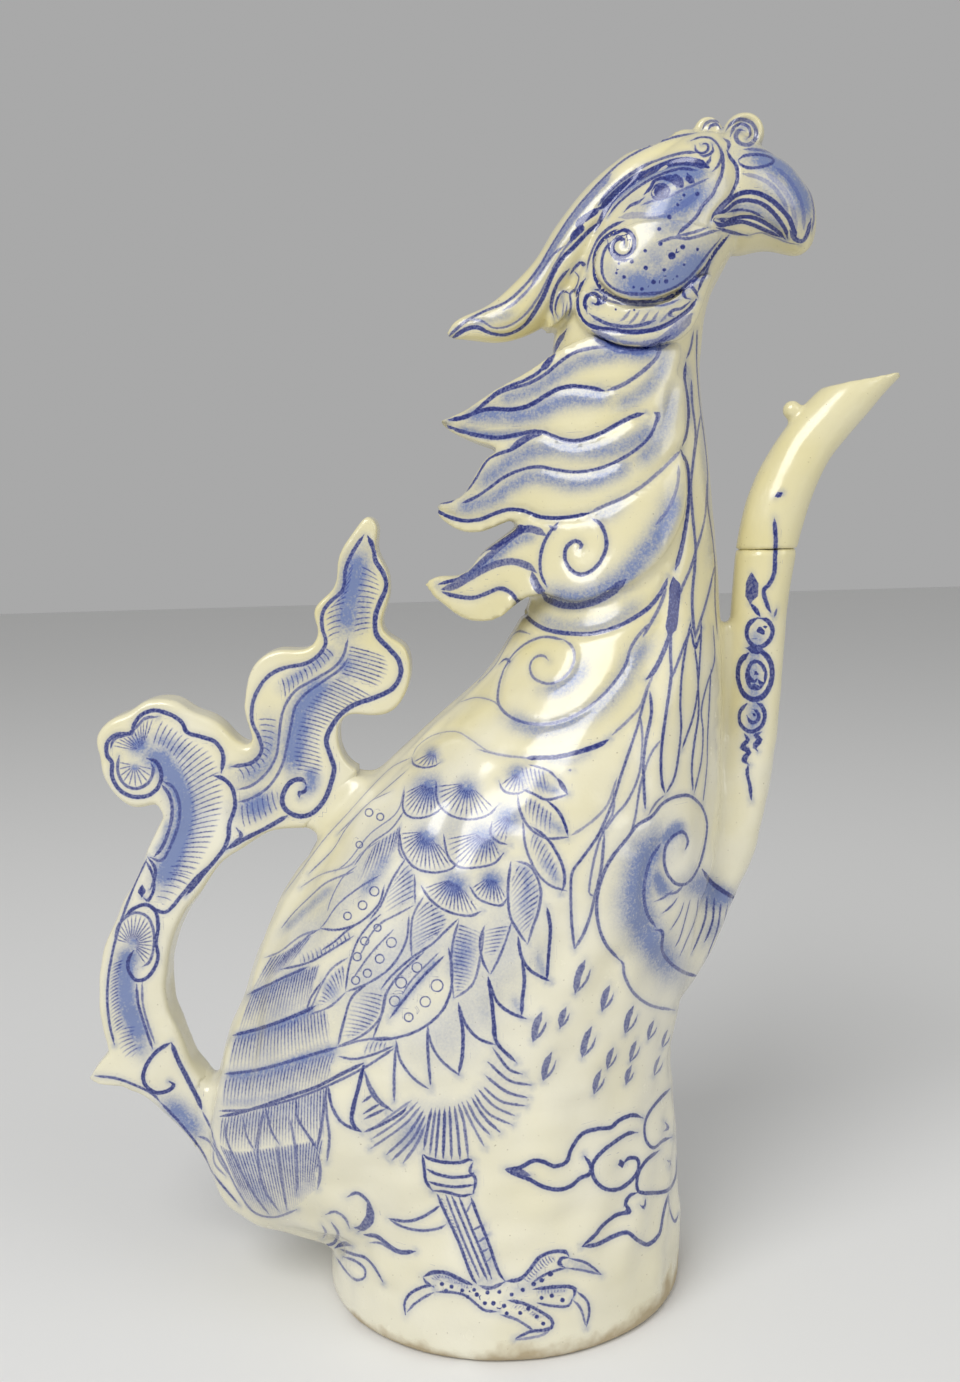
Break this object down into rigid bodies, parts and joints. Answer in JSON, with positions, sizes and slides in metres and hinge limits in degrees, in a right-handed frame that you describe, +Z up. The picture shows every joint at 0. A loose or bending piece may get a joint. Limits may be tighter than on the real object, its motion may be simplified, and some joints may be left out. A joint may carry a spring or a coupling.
{
  "type": "ewer",
  "caption": "Ceramic ewer shaped as a standing bird, with a hollow body on a round foot, a spout rising from the breast, a filler hole in the crown and a scrolled tail handle.",
  "frame": {"origin": "centre of the foot's resting face", "axes": "+Z up, +X the way the bird faces, +Y the bird's left side"},
  "size_m": [0.1936, 0.0862, 0.27],
  "materials": {
    "blue_white_glaze": "gloss",
    "cream_glaze": "gloss",
    "bare_clay": "matt"
  },
  "bodies": {
    "root": {"body_left": "blue_white_glaze", "body_right": "blue_white_glaze", "neck_left": "blue_white_glaze", "neck_right": "blue_white_glaze", "head_left": "blue_white_glaze", "head_right": "blue_white_glaze", "beak": "blue_white_glaze", "crest_lock": "blue_white_glaze", "throat_collar_left": "blue_white_glaze", "throat_collar_right": "blue_white_glaze", "cheek_lobe_left": "blue_white_glaze", "cheek_lobe_right": "blue_white_glaze", "ear_tuft_left": "blue_white_glaze", "ear_tuft_right": "blue_white_glaze", "mane_lock_upper": "blue_white_glaze", "mane_lock_middle": "blue_white_glaze", "mane_lock_lower": "blue_white_glaze", "handle_leaf": "blue_white_glaze", "handle_scroll": "blue_white_glaze", "handle_bridge": "blue_white_glaze", "handle_strap": "blue_white_glaze", "handle_spur": "blue_white_glaze", "spout_strip": "blue_white_glaze", "crown_curl_front": "cream_glaze", "crown_curl_rear": "cream_glaze", "spout_lower": "cream_glaze", "spout_upper": "cream_glaze", "spout_pellet": "cream_glaze", "foot_ring": "bare_clay", "foot_floor": "bare_clay"}
  },
  "joints": []
}
